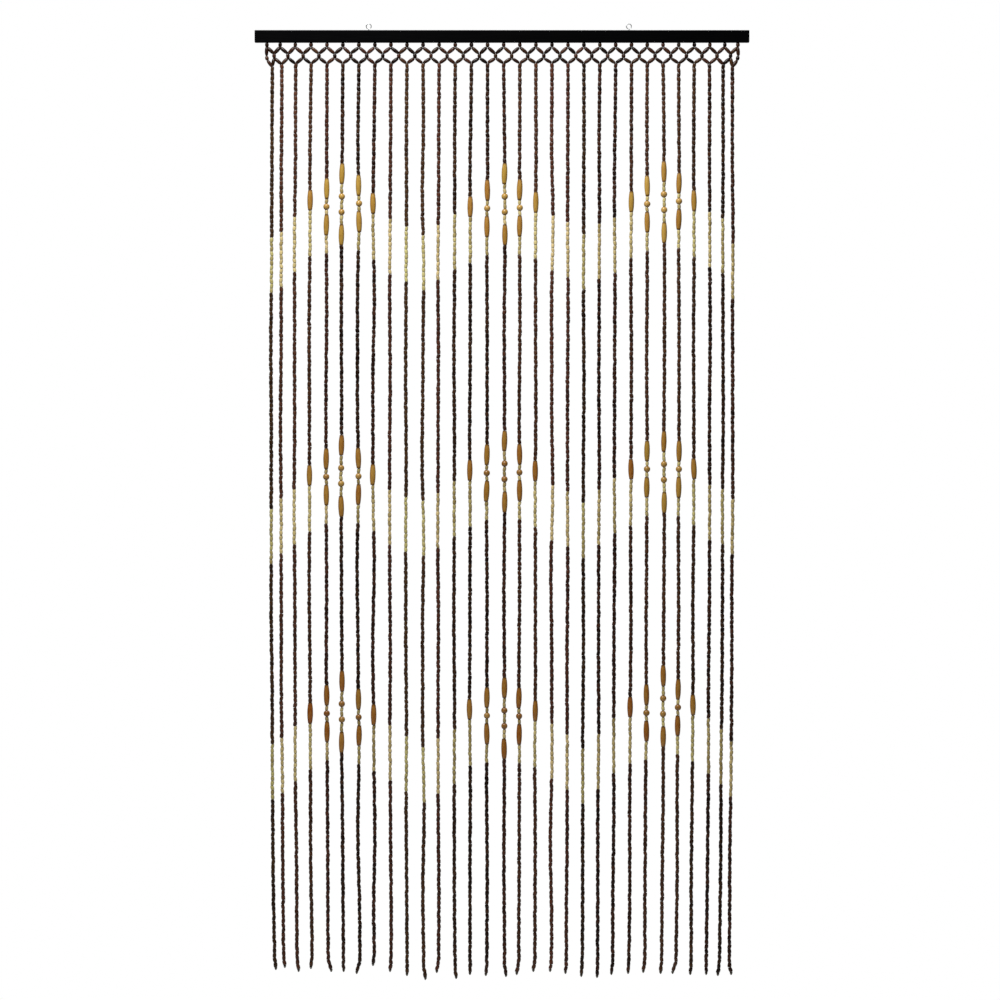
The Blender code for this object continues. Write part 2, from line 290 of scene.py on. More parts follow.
def side_run(strand, outward):
    """The meeting points down one side of the net, from the hanger to the strand."""
    x = hanger_x(strand)
    return [
        (x, HANGER_Z), (x + outward * SIDE_UPPER_OUT, SIDE_UPPER_Z),
        (x + outward * SIDE_LOWER_OUT, SIDE_LOWER_Z), strand_top(strand),
    ]


def net_stretches():
    """The pairs of meeting points that one bead each spans: upper long, lower long and short."""
    upper = []
    lower = []
    short = []
    for strand in range(STRANDS):
        x = hanger_x(strand) + KNOT_SHIFT
        short.append(((x, RAIL_BOTTOM_Z), (x, HANGER_Z)))
    for gap in range(STRANDS - 1):
        above = (crossing_x(gap), CROSSING_TOP_Z)
        below = (crossing_x(gap), CROSSING_FOOT_Z)
        short.append((above, below))
        for strand in (gap, gap + 1):
            upper.append(((hanger_x(strand), HANGER_Z), above))
            lower.append((below, strand_top(strand)))
    for strand, outward in ((0, -1), (STRANDS - 1, 1)):
        knots = side_run(strand, outward)
        upper.append((knots[0], knots[1]))
        short.append((knots[1], knots[2]))
        lower.append((knots[2], knots[3]))
    return upper, lower, short


def strung_beads_tree():
    """Geometry Nodes that set one turned bead along each edge of a path."""
    tree = bpy.data.node_groups.new("strung beads", "GeometryNodeTree")
    for name, kind in (
        ("Path", "Geometry"), ("Length", "Float"), ("Width", "Float"), ("End Share", "Float"),
        ("Roundness", "Float"), ("Sides", "Int"), ("Rings", "Int"), ("Lean", "Float"),
        ("Turn", "Float"), ("Size Spread", "Float"), ("Unevenness", "Float"), ("Seed", "Int"),
        ("Material", "Material"),
    ):
        tree.interface.new_socket(name, in_out="INPUT", socket_type="NodeSocket" + kind)
    tree.interface.new_socket("Beads", in_out="OUTPUT", socket_type="NodeSocketGeometry")
    given = add_node(tree, "NodeGroupInput").outputs

    # The outline of the bead: rings from its foot at -1 to its top at 1, closer at its ends
    line = add_node(tree, "GeometryNodeCurvePrimitiveLine")
    rings = add_node(
        tree, "GeometryNodeResampleCurve", {"Curve": line.outputs[0], "Count": given["Rings"]},
    )
    share = add_node(tree, "GeometryNodeSplineParameter").outputs["Factor"]
    half_turn = add_node(
        tree, "ShaderNodeMath", {0: share, 1: math.pi, 2: math.pi}, operation="MULTIPLY_ADD",
    )
    along = add_node(tree, "ShaderNodeMath", {0: half_turn.outputs[0]}, operation="COSINE")
    marked = add_node(
        tree, "GeometryNodeStoreNamedAttribute",
        {"Geometry": rings.outputs[0], "Name": "bead_along", "Value": along.outputs[0]},
    )
    half_along = add_node(
        tree, "ShaderNodeMath", {0: along.outputs[0], 1: 0.5}, operation="MULTIPLY",
    )
    height = add_node(
        tree, "ShaderNodeMath", {0: half_along.outputs[0], 1: given["Length"]},
        operation="MULTIPLY",
    )
    axis = add_node(tree, "ShaderNodeCombineXYZ", {"Z": height.outputs[0]})
    spaced = add_node(
        tree, "GeometryNodeSetPosition",
        {"Geometry": marked.outputs[0], "Position": axis.outputs[0]},
    )
    kept = add_node(tree, "GeometryNodeInputNamedAttribute", {"Name": "bead_along"}).outputs[0]
    end_power = add_node(
        tree, "ShaderNodeMath", {0: given["End Share"], 1: given["Roundness"]},
        operation="POWER",
    )
    end_drop = add_node(
        tree, "ShaderNodeMath", {0: 1.0, 1: end_power.outputs[0]}, operation="SUBTRACT",
    )
    squared = add_node(tree, "ShaderNodeMath", {0: kept, 1: kept}, operation="MULTIPLY")
    fall = add_node(
        tree, "ShaderNodeMath", {0: squared.outputs[0], 1: end_drop.outputs[0]},
        operation="MULTIPLY",
    )
    remaining = add_node(
        tree, "ShaderNodeMath", {0: 1.0, 1: fall.outputs[0]}, operation="SUBTRACT",
    )
    root = add_node(
        tree, "ShaderNodeMath", {0: 1.0, 1: given["Roundness"]}, operation="DIVIDE",
    )
    swell = add_node(
        tree, "ShaderNodeMath", {0: remaining.outputs[0], 1: root.outputs[0]}, operation="POWER",
    )
    radius_scale = add_node(
        tree, "ShaderNodeMath", {0: swell.outputs[0], 1: given["Width"]}, operation="MULTIPLY",
    )
    circle = add_node(
        tree, "GeometryNodeCurvePrimitiveCircle", {"Resolution": given["Sides"], "Radius": 0.5},
    )
    turned = add_node(
        tree, "GeometryNodeCurveToMesh",
        {
            "Curve": spaced.outputs[0], "Profile Curve": circle.outputs[0],
            "Scale": radius_scale.outputs[0], "Fill Caps": True,
        },
    )

    # Smooth sides, and a crisp edge round the flat end that the hole is drilled in
    smooth = add_node(tree, "GeometryNodeSetShadeSmooth", {"Geometry": turned.outputs[0]})
    angle = add_node(tree, "GeometryNodeInputMeshEdgeAngle").outputs[0]
    sharp = add_node(tree, "ShaderNodeMath", {0: angle, 1: CRISP_ANGLE}, operation="GREATER_THAN")
    crisp = add_node(
        tree, "GeometryNodeSetShadeSmooth",
        {"Geometry": smooth.outputs[0], "Selection": sharp.outputs[0], "Shade Smooth": False},
        domain="EDGE",
    )
    position = add_node(tree, "GeometryNodeInputPosition").outputs[0]
    bead = add_node(
        tree, "GeometryNodeStoreNamedAttribute",
        {"Geometry": crisp.outputs[0], "Name": "grain_at", "Value": position},
        data_type="FLOAT_VECTOR",
    )

    # One place for each edge, which keeps the edge's direction
    ends = add_node(tree, "GeometryNodeInputMeshEdgeVertices").outputs
    direction = add_node(
        tree, "ShaderNodeVectorMath", {0: ends["Position 2"], 1: ends["Position 1"]},
        operation="SUBTRACT",
    )
    directed = add_node(
        tree, "GeometryNodeStoreNamedAttribute",
        {"Geometry": given["Path"], "Name": "string_direction", "Value": direction.outputs[0]},
        data_type="FLOAT_VECTOR", domain="EDGE",
    )
    places = add_node(
        tree, "GeometryNodeMeshToPoints", {"Mesh": directed.outputs[0]}, mode="EDGES",
    )
    string_way = add_node(
        tree, "GeometryNodeInputNamedAttribute", {"Name": "string_direction"},
        data_type="FLOAT_VECTOR",
    )
    on_string = add_node(
        tree, "FunctionNodeAlignRotationToVector", {"Vector": string_way.outputs[0]}, axis="Z",
    )

    # What differs from bead to bead, each drawn with a seed of its own
    least_turn = add_node(
        tree, "ShaderNodeMath", {0: given["Turn"], 1: -1.0}, operation="MULTIPLY",
    )
    smallest = add_node(
        tree, "ShaderNodeMath", {0: 1.0, 1: given["Size Spread"]}, operation="SUBTRACT",
    )
    largest = add_node(tree, "ShaderNodeMath", {0: 1.0, 1: given["Size Spread"]}, operation="ADD")
    drawn = {}
    for seed_step, (name, least, most) in enumerate((
        ("turn", least_turn.outputs[0], given["Turn"]), ("lean", 0.35, 1.65),
        ("width", smallest.outputs[0], largest.outputs[0]),
        ("length", smallest.outputs[0], 1.0), ("tone", 0.0, 1.0),
    ), start=1):
        seed = add_node(
            tree, "ShaderNodeMath", {0: given["Seed"], 1: seed_step}, operation="ADD",
        )
        drawn[name] = add_node(
            tree, "FunctionNodeRandomValue", {2: least, 3: most, "Seed": seed.outputs[0]},
        ).outputs[1]

    # Crooked holes make every other bead lean the other way
    number = add_node(tree, "GeometryNodeInputIndex").outputs[0]
    every_other = add_node(tree, "ShaderNodeMath", {0: number, 1: 2.0}, operation="MODULO")
    half_turns = add_node(
        tree, "ShaderNodeMath", {0: every_other.outputs[0], 1: math.pi}, operation="MULTIPLY",
    )
    turn = add_node(
        tree, "ShaderNodeMath", {0: half_turns.outputs[0], 1: drawn["turn"]}, operation="ADD",
    )
    lean = add_node(
        tree, "ShaderNodeMath", {0: given["Lean"], 1: drawn["lean"]}, operation="MULTIPLY",
    )
    leaning = add_node(
        tree, "ShaderNodeCombineXYZ", {"Y": lean.outputs[0], "Z": turn.outputs[0]},
    )
    leaning_turn = add_node(tree, "FunctionNodeEulerToRotation", {"Euler": leaning.outputs[0]})
    rotation = add_node(
        tree, "FunctionNodeRotateRotation",
        {"Rotation": on_string.outputs[0], "Rotate By": leaning_turn.outputs[0]},
        rotation_space="LOCAL",
    )
    scale = add_node(
        tree, "ShaderNodeCombineXYZ",
        {"X": drawn["width"], "Y": drawn["width"], "Z": drawn["length"]},
    )
    strung = add_node(
        tree, "GeometryNodeInstanceOnPoints",
        {
            "Points": places.outputs[0], "Instance": bead.outputs[0],
            "Rotation": rotation.outputs[0], "Scale": scale.outputs[0],
        },
    )
    toned = add_node(
        tree, "GeometryNodeStoreNamedAttribute",
        {"Geometry": strung.outputs[0], "Name": "bead_tone", "Value": drawn["tone"]},
        domain="INSTANCE",
    )
    realized = add_node(tree, "GeometryNodeRealizeInstances", {"Geometry": toned.outputs[0]})

    # The beads aren't quite round: low lumps about 4 mm across
    lumps = add_node(tree, "ShaderNodeTexNoise", {"Scale": 260.0, "Detail": 1.0})
    centred = add_node(
        tree, "ShaderNodeVectorMath", {0: lumps.outputs["Color"], 1: (0.5, 0.5, 0.5)},
        operation="SUBTRACT",
    )
    offset = add_node(
        tree, "ShaderNodeVectorMath",
        {0: centred.outputs[0], "Scale": given["Unevenness"]}, operation="SCALE",
    )
    uneven = add_node(
        tree, "GeometryNodeSetPosition",
        {"Geometry": realized.outputs[0], "Offset": offset.outputs[0]},
    )
    finished = add_node(
        tree, "GeometryNodeSetMaterial",
        {"Geometry": uneven.outputs[0], "Material": given["Material"]},
    )
    add_node(tree, "NodeGroupOutput", {"Beads": finished.outputs[0]})
    return tree


def path_object(name, paths, stains_and_painted_falloff=()):
    """A mesh of edges only, one chain for each path, with the path's share of light staining and,
    for the long and round beads, of painted light falling off downwards.
    """
    points = []
    edges = []
    for path in paths:
        edges += [(len(points) + step, len(points) + step + 1) for step in range(len(path) - 1)]
        points += path
    mesh = bpy.data.meshes.new(name)
    mesh.from_pydata(points, edges, [])
    if stains_and_painted_falloff:
        stain = mesh.attributes.new("stain", "FLOAT", "POINT")
        shares = [share for path, share in zip(paths, stains_and_painted_falloff) for _ in path]
        stain.data.foreach_set("value", shares)
    guide = bpy.data.objects.new(name, mesh)
    bpy.context.scene.collection.objects.link(guide)
    return guide


def grown_on_path(guide, tree, values):
    """The plain mesh object that a tree of Geometry Nodes makes on a path."""
    modifier = guide.modifiers.new(tree.name, "NODES")
    modifier.node_group = tree
    for item in tree.interface.items_tree:
        if item.name in values:
            modifier[item.identifier] = values[item.name]
    depsgraph = bpy.context.evaluated_depsgraph_get()
    mesh = bpy.data.meshes.new_from_object(guide.evaluated_get(depsgraph))
    name = guide.name
    bpy.data.objects.remove(guide)
    piece = bpy.data.objects.new(name, mesh)
    bpy.context.scene.collection.objects.link(piece)
    return piece


def hang_on_strings(piece):
    """The piece moves with the curtain and stands for the plain solid of its strings."""
    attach(piece, "root")
    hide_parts("bead_strings")


def lacquered_wood(name, dark, light, other, end, grain_width, tone_spread, plain_sockets):
    """Small turned beads, stained and lacquered. A bead's shade between dark and light
    follows the share it is strung with and differs a little from its neighbours'; some
    strings lean to the other hue. That share is a batch tone, and for the long and round
    beads also painted light, lighter in the upper rows. Pores run along it, really 0.1 mm
    wide and drawn at the grain's width so that they show. Its ends take the end colour:
    staining soaked into the end grain, and painted shade where the beads meet. A thin
    coat of clear lacquer gives small sharp highlights."""
    material, tree, shader = new_material(name, plain_sockets)
    tone, along, stain = [
        add_node(tree, "ShaderNodeAttribute", attribute_name=kept).outputs["Fac"]
        for kept in ("bead_tone", "bead_along", "stain")
    ]
    place = add_node(tree, "ShaderNodeAttribute", attribute_name="grain_at").outputs["Vector"]
    grain_scale = 1 / grain_width
    grain_at = add_node(
        tree, "ShaderNodeMapping",
        {"Vector": place, "Scale": (grain_scale, grain_scale, grain_scale / 9)},
    )
    own_place = add_node(tree, "ShaderNodeMath", {0: tone, 1: 90.0}, operation="MULTIPLY")
    grain = add_node(
        tree, "ShaderNodeTexNoise",
        {"Vector": grain_at.outputs[0], "W": own_place.outputs[0], "Scale": 1.0, "Detail": 3.0,
         "Roughness": 0.62},
        noise_dimensions="4D",
    )
    streaks = add_node(
        tree, "ShaderNodeMapRange",
        {"Value": grain.outputs[0], "From Min": 0.32, "From Max": 0.68, "To Min": -0.28,
         "To Max": 0.28},
    )
    differing = add_node(
        tree, "ShaderNodeMapRange",
        {"Value": tone, "To Min": -tone_spread, "To Max": tone_spread},
    )
    uneven = add_node(tree, "ShaderNodeMath", {0: streaks.outputs[0], 1: differing.outputs[0]})
    shade = add_node(
        tree, "ShaderNodeMath", {0: stain, 1: uneven.outputs[0]}, use_clamp=True,
    )
    hue = add_node(tree, "ShaderNodeTexWhiteNoise", {"W": stain}, noise_dimensions="1D")
    lighter = add_node(
        tree, "ShaderNodeMix",
        {0: hue.outputs["Value"], 6: linear_colour(light), 7: linear_colour(other)},
        data_type="RGBA",
    )
    colour = add_node(
        tree, "ShaderNodeMix",
        {0: shade.outputs[0], 6: linear_colour(dark), 7: lighter.outputs[2]},
        data_type="RGBA",
    )
    # Darker towards both ends: staining soaked into the end grain, and painted shade where the
    # beads meet.
    from_middle = add_node(tree, "ShaderNodeMath", {0: along}, operation="ABSOLUTE")
    end_grain_and_painted_shade = add_node(
        tree, "ShaderNodeMapRange",
        {"Value": from_middle.outputs[0], "From Min": 0.78, "From Max": 1.0},
        interpolation_type="SMOOTHSTEP",
    )
    ends_stained_and_shade_painted = add_node(
        tree, "ShaderNodeMix",
        {0: end_grain_and_painted_shade.outputs[0], 6: colour.outputs[2], 7: linear_colour(end)},
        data_type="RGBA",
    )
    gloss = add_node(
        tree, "ShaderNodeMapRange", {"Value": grain.outputs[0], "To Min": 0.2, "To Max": 0.38},
    )
    relief = add_node(
        tree, "ShaderNodeBump",
        {"Height": grain.outputs[0], "Strength": 0.3, "Distance": 0.0002},
    )
    tree.links.new(ends_stained_and_shade_painted.outputs[2], shader.inputs["Base Color"])
    tree.links.new(gloss.outputs[0], shader.inputs["Roughness"])
    tree.links.new(relief.outputs[0], shader.inputs["Normal"])
    return material


bead_tree = strung_beads_tree()
dark_lacquer = lacquered_wood(
    "dark stained and lacquered beech", dark="100502", light="573024", other="47311b",
    end="0e0502", grain_width=0.0005, tone_spread=0.3,
    plain_sockets={"IOR": 1.5, "Specular IOR Level": 0.2},
)
net_runs = dict(zip(NET_BEADS, net_stretches()))


def net_bead(stretch):
    """A stretch between two meeting points as a path, read from its lower end."""
    return [(x, STRING_LINE, z) for x, z in sorted(stretch, key=lambda point: point[1])]


def net_stain(number):
    """The header's beads are the darkest, and each is from a batch of its own."""
    return 0.24 + 0.14 * math.sin(9.7 * number)


for name, sizes in NET_BEADS.items():
    stretches = net_runs[name]
    stains_and_painted_falloff = [net_stain(number) for number in range(len(stretches))]
    header_beads = grown_on_path(
        path_object(name, [net_bead(stretch) for stretch in stretches], stains_and_painted_falloff),
        bead_tree,
        {
            **sizes, "End Share": 0.42, "Roundness": 3.6, "Sides": 12, "Rings": 9, "Lean": 0.05,
            "Turn": 3.1, "Size Spread": 0.05, "Unevenness": 0.0005, "Material": dark_lacquer,
        },
    )
    hang_on_strings(header_beads)


# STRINGS OF SMALL BEADS
# Each string is a thread through small oval beads of stained or natural wood.
# The beads are cut by machine with slightly crooked holes, so they zigzag.

SMALL_PITCH = 0.0084
SMALL_LENGTH = 0.0088
BROWN_WIDTH = 0.0071
NATURAL_WIDTH = 0.0063
KNOT_HEIGHT = 0.0045
END_TURN_LENGTH = 0.0300
SWAY_FOOT_Z = -1.7040
LEAN_LEFT = 0.0034
LEAN_RIGHT = -0.0060
BOW_LEFT = -0.0043
BOW_RIGHT = 0.0035
LONG_WAVE = 0.45
SHORT_WAVE = 0.25
PLAIN_SWAY = 0.0004
LOOSE_SWAY = 0.0011
UNEVEN_SWAY = 0.00025
UNEVEN_LONG = 0.0083
UNEVEN_SHORT = 0.0049
LOOSE_STRANDS = (6, 7, 10, 18)
STRAND_GROUPS = {
    "far_left": range(0, 8), "mid_left": range(8, 16), "mid_right": range(16, 24),
    "far_right": range(24, 31),
}
BEAD_PITCH = {"b": SMALL_PITCH, "n": SMALL_PITCH, "o": 0.0378, "r": 0.0116}

# The motif that a strand holds three times, read downwards, by its distance from the
# nearest of the motif's centres
MOTIF_CENTRES = (5, 15, 25)
MOTIFS = (
    "onnrnnrnno", "onrnonnnn", "onnnnnnnnnn", "nnnnnnnnnnnn", "nnnnnnnnnnnn", "nnnnnnnnnnnn",
)

# How each strand was strung by hand, from the left: the length of its brown beads above
# each of its three motifs, the height of its end, and how far it hangs to the right of
# its even place and its last beads turn to the right
String = namedtuple("String", "above_first above_second above_third end_z aside end_turn")
STRINGS = (
    String(0.311, 0.393, 0.327, -1.6981, 0.0003, 0.0029),
    String(0.305, 0.384, 0.335, -1.6944, 0.0008, 0.0029),
    String(0.279, 0.395, 0.330, -1.7017, -0.0001, 0.0035),
    String(0.230, 0.379, 0.311, -1.6962, -0.0010, -0.0035),
    String(0.209, 0.354, 0.293, -1.7017, 0.0008, 0.0067),
    String(0.182, 0.345, 0.280, -1.7017, -0.0008, 0.0009),
    String(0.203, 0.359, 0.301, -1.7053, -0.0001, -0.0075),
    String(0.236, 0.372, 0.315, -1.6908, -0.0011, -0.0049),
    String(0.283, 0.392, 0.328, -1.7017, -0.0003, -0.0029),
    String(0.297, 0.391, 0.335, -1.7090, -0.0004, -0.0013),
    String(0.313, 0.382, 0.348, -1.7163, 0.0011, 0.0038),
    String(0.294, 0.387, 0.346, -1.7035, -0.0006, -0.0040),
    String(0.275, 0.385, 0.350, -1.7144, -0.0007, 0.0029),
    String(0.242, 0.358, 0.313, -1.7072, -0.0015, 0.0000),
    String(0.212, 0.344, 0.304, -1.7090, -0.0001, -0.0027),
    String(0.182, 0.337, 0.300, -1.7108, 0.0022, 0.0038),
    String(0.211, 0.344, 0.306, -1.7072, 0.0002, -0.0055),
    String(0.234, 0.367, 0.315, -1.7017, -0.0001, -0.0035),
    String(0.277, 0.390, 0.333, -1.7017, 0.0004, -0.0029),
    String(0.289, 0.389, 0.342, -1.7053, -0.0002, -0.0025),
    String(0.311, 0.388, 0.346, -1.7108, -0.0004, -0.0016),
    String(0.292, 0.383, 0.344, -1.7126, -0.0013, -0.0009),
    String(0.281, 0.373, 0.336, -1.7072, -0.0020, -0.0035),
    String(0.233, 0.365, 0.311, -1.7053, -0.0009, -0.0020),
    String(0.204, 0.345, 0.306, -1.7035, -0.0009, -0.0040),
    String(0.178, 0.342, 0.277, -1.7053, 0.0019, -0.0018),
    String(0.199, 0.350, 0.296, -1.7053, -0.0001, -0.0078),
    String(0.231, 0.366, 0.308, -1.7072, -0.0015, -0.0015),
    String(0.270, 0.396, 0.324, -1.7072, 0.0000, -0.0007),
    String(0.280, 0.392, 0.336, -1.7090, -0.0013, -0.0044),
    String(0.322, 0.364, 0.340, -1.7072, -0.0005, 0.0055),
)


def strand_x(strand, z):
    """The strand's place along the rail at a height: its lean, bow, sway and turned end."""
    top_x, top_z = strand_top(strand)
    string = STRINGS[strand]
    share = (top_z - z) / (top_z - SWAY_FOOT_Z)
    side = strand / (STRANDS - 1)
    lean = LEAN_LEFT + (LEAN_RIGHT - LEAN_LEFT) * side
    bow = BOW_LEFT + (BOW_RIGHT - BOW_LEFT) * side
    size = LOOSE_SWAY if strand in LOOSE_STRANDS else PLAIN_SWAY
    long_wave = math.sin(math.tau * z / LONG_WAVE + 2.1 * strand)
    short_wave = math.sin(math.tau * z / SHORT_WAVE + 3.7 * strand)
    uneven = math.sin(z / UNEVEN_LONG + 1.3 * strand) + math.sin(z / UNEVEN_SHORT + strand)
    aside = string.aside + size * (long_wave + 0.5 * short_wave) + UNEVEN_SWAY * uneven
    own = aside * min(1.0, share * 10)
    turn = string.end_turn * max(0.0, 1 - (z - string.end_z) / END_TURN_LENGTH) ** 2
    return top_x + KNOT_SHIFT + lean * share + bow * 4 * share * (1 - share) + own + turn


def strand_point(strand, z):
    return (strand_x(strand, z), STRING_LINE, z)


def strand_beads(strand):
    """The kind, row, top and foot of each bead of a strand, read downwards."""
    motif = MOTIFS[min(abs(strand - centre) for centre in MOTIF_CENTRES)]
    motifs_length = 3 * sum(BEAD_PITCH[kind] for kind in motif)
    string = STRINGS[strand]
    z = strand_top(strand)[1]
    brown_lengths = [string.above_first, string.above_second, string.above_third]
    below = z - string.end_z - KNOT_HEIGHT - motifs_length - sum(brown_lengths)
    beads = []
    for row, brown_length in enumerate(brown_lengths + [below]):
        count = round(brown_length / SMALL_PITCH)
        steps = [("b", brown_length / count)] * count
        if row < 3:
            steps += [(kind, BEAD_PITCH[kind]) for kind in motif]
        for kind, step in steps:
            beads.append((kind, row, z, z - step))
            z -= step
    return beads


def bead_paths(strands, kind, stain_and_painted_falloff_of):
    """A path for each bead of a kind on these strands, and its staining share by strand and row,
    which for the long and round beads holds painted light falling off downwards.
    """
    paths = []
    stains_and_painted_falloff = []
    for strand in strands:
        for bead_kind, row, top, foot in strand_beads(strand):
            if bead_kind == kind:
                paths.append([strand_point(strand, foot), strand_point(strand, top)])
                stains_and_painted_falloff.append(stain_and_painted_falloff_of(strand, row))
    return paths, stains_and_painted_falloff


def string_stain(strand, row):
    """Each string's beads come from a batch of their own, the same in every row."""
    return 0.5 + 0.25 * math.sin(7.1 * strand)


for group, strands in STRAND_GROUPS.items():
    brown_beads = grown_on_path(
        path_object("brown_beads_" + group, *bead_paths(strands, "b", string_stain)),
        bead_tree,
        {
            "Length": SMALL_LENGTH, "Width": BROWN_WIDTH, "End Share": 0.78, "Roundness": 2.4,
            "Sides": 8, "Rings": 7, "Lean": 0.14, "Turn": 0.8, "Size Spread": 0.06,
            "Unevenness": 0.0008, "Seed": 21 + strands[0], "Material": dark_lacquer,
        },
    )
    hang_on_strings(brown_beads)

pale_lacquer = lacquered_wood(
    "clear lacquered natural wood", dark="8c7a4a", light="d4bb88", other="bdb675", end="6c5d34",
    grain_width=0.0005, tone_spread=0.4, plain_sockets={"IOR": 1.5, "Specular IOR Level": 0.35},
)
natural_beads = grown_on_path(
    path_object("natural_beads", *bead_paths(range(STRANDS), "n", string_stain)),
    bead_tree,
    {
        "Length": SMALL_LENGTH, "Width": NATURAL_WIDTH, "End Share": 0.74, "Roundness": 2.4,
        "Sides": 8, "Rings": 7, "Lean": 0.14, "Turn": 0.8, "Size Spread": 0.07,
        "Unevenness": 0.0008, "Seed": 61, "Material": pale_lacquer,
    },
)
hang_on_strings(natural_beads)


# LONG AND ROUND BEADS
# Turned beads of honey-stained wood that make the three rows of the pattern:
# long blunt-ended barrels and balls, threaded between the natural beads.

honey_lacquer = lacquered_wood(
    "honey stained and lacquered beech", dark="803b07", light="b38f44", other="a88a3a",
    end="5c3c12", grain_width=0.0009, tone_spread=0.2,
    plain_sockets={"IOR": 1.5, "Specular IOR Level": 0.4},
)
tan_lacquer = lacquered_wood(
    "tan stained and lacquered beech", dark="7c4a1a", light="c19c54", other="b49044",
    end="543416", grain_width=0.0009, tone_spread=0.2,
    plain_sockets={"IOR": 1.5, "Specular IOR Level": 0.4},
)


def batch_and_painted_row_falloff(strand, row):
    """The long and round beads of the upper row are the lightest: painted light falling off
    downwards, over a batch tone for each strand.
    """
    return (0.7, 0.48, 0.27)[row] + 0.1 * math.sin(5.3 * strand + row)


for name, kind, sizes in (
    ("long_beads", "o", {
        "Length": 0.0382, "Width": 0.0103, "End Share": 0.66, "Roundness": 1.6, "Sides": 20,
        "Rings": 19, "Lean": 0.02, "Seed": 71, "Material": honey_lacquer,
    }),
    ("round_beads", "r", {
        "Length": 0.0116, "Width": 0.0116, "End Share": 0.34, "Roundness": 1.9, "Sides": 20,
        "Rings": 13, "Lean": 0.08, "Seed": 81, "Material": tan_lacquer,
    }),
):
    pattern_beads = grown_on_path(
        path_object(name, *bead_paths(range(STRANDS), kind, batch_and_painted_row_falloff)),
        bead_tree,
        {**sizes, "Turn": 3.1, "Size Spread": 0.03, "Unevenness": 0.0003},
    )
    hang_on_strings(pattern_beads)


# THREAD
# Waxed twisted thread through every bead, held in the rail's holes. It ends in a
# thick doubled knot under each string's last bead.

THREAD_RADIUS = 0.00045
KNOT_THREAD_RADIUS = 0.0009
KNOT_RADIUS = 0.0016
KNOT_STEPS = 24
THREAD_TOP_Z = -0.0030


def thread_tree():
    """Geometry Nodes that make a round thread along each chain of edges."""
    tree = bpy.data.node_groups.new("thread on a path", "GeometryNodeTree")
    for name, kind in (
        ("Path", "Geometry"), ("Radius", "Float"), ("Sides", "Int"), ("Material", "Material"),
    ):
        tree.interface.new_socket(name, in_out="INPUT", socket_type="NodeSocket" + kind)
    tree.interface.new_socket("Thread", in_out="OUTPUT", socket_type="NodeSocketGeometry")
    given = add_node(tree, "NodeGroupInput").outputs
    run = add_node(tree, "GeometryNodeMeshToCurve", {"Mesh": given["Path"]})
    circle = add_node(
        tree, "GeometryNodeCurvePrimitiveCircle",
        {"Resolution": given["Sides"], "Radius": given["Radius"]},
    )
    tube = add_node(
        tree, "GeometryNodeCurveToMesh",
        {"Curve": run.outputs[0], "Profile Curve": circle.outputs[0], "Fill Caps": True},
    )
    smooth = add_node(tree, "GeometryNodeSetShadeSmooth", {"Geometry": tube.outputs[0]})
    realized = add_node(tree, "GeometryNodeRealizeInstances", {"Geometry": smooth.outputs[0]})
    finished = add_node(
        tree, "GeometryNodeSetMaterial",
        {"Geometry": realized.outputs[0], "Material": given["Material"]},
    )
    add_node(tree, "NodeGroupOutput", {"Thread": finished.outputs[0]})
    return tree


def twisted_thread():
    """Waxed twisted thread: matt and olive grey, with the slant of its plies. They are
    really 0.6 mm apart and drawn 2.4 mm apart, so that they show."""
    material, tree, shader = new_material("waxed twisted thread", {"Roughness": 0.8, "IOR": 1.5})
    place = add_node(tree, "ShaderNodeTexCoord").outputs["Object"]
    plies = add_node(
        tree, "ShaderNodeTexWave",
        {"Vector": place, "Scale": 260.0, "Distortion": 1.5, "Detail": 1.0},
        bands_direction="DIAGONAL",
    )
    colour = add_node(
        tree, "ShaderNodeMix",
        {0: plies.outputs["Fac"], 6: linear_colour("2b261d"), 7: linear_colour("6a6556")},
        data_type="RGBA",
    )
    relief = add_node(
        tree, "ShaderNodeBump",
        {"Height": plies.outputs["Fac"], "Strength": 0.5, "Distance": 0.0002},
    )
    tree.links.new(colour.outputs[2], shader.inputs["Base Color"])
    tree.links.new(relief.outputs[0], shader.inputs["Normal"])
    return material


def overhand_knot(strand, z):
    """The doubled thread's path through an overhand knot under the last bead."""
    x = strand_x(strand, z)
    path = [strand_point(strand, z + 0.001)]
    for step in range(KNOT_STEPS + 1):
        angle = math.tau * (step / KNOT_STEPS * 0.92 + 0.04)
        across = math.sin(angle) + 2 * math.sin(2 * angle)
        up = math.cos(angle) - 2 * math.cos(2 * angle)
        deep = -math.sin(3 * angle)
        path.append((
            x + across * KNOT_RADIUS * 0.42, STRING_LINE + deep * KNOT_RADIUS * 0.7,
            z - KNOT_HEIGHT / 2 + up * KNOT_RADIUS * 0.5,
        ))
    return path


net_threads = [net_bead(stretch) for stretches in net_runs.values() for stretch in stretches]
strand_threads = []
knots = []
for strand in range(STRANDS):
    beads = strand_beads(strand)
    hole_x = hanger_x(strand) + KNOT_SHIFT
    strand_threads.append([(hole_x, STRING_LINE, z) for z in (RAIL_BOTTOM_Z, THREAD_TOP_Z)])
    stops = [beads[0][2]] + [foot for _, _, _, foot in beads]
    strand_threads.append([strand_point(strand, z) for z in stops])
    knots.append(overhand_knot(strand, stops[-1]))
waxed_thread = twisted_thread()
thread_on_path = thread_tree()
for name, paths, radius in (
    ("thread", net_threads + strand_threads, THREAD_RADIUS),
    ("end_knots", knots, KNOT_THREAD_RADIUS),
):
    thread = grown_on_path(
        path_object(name, paths),
        thread_on_path,
        {"Radius": radius, "Sides": 6, "Material": waxed_thread},
    )
    hang_on_strings(thread)


# STUDIO
# A pale floor under the hanging curtain, white all round, one large soft light from
# the upper left, weaker ones from the right and from behind, and the photo's view.

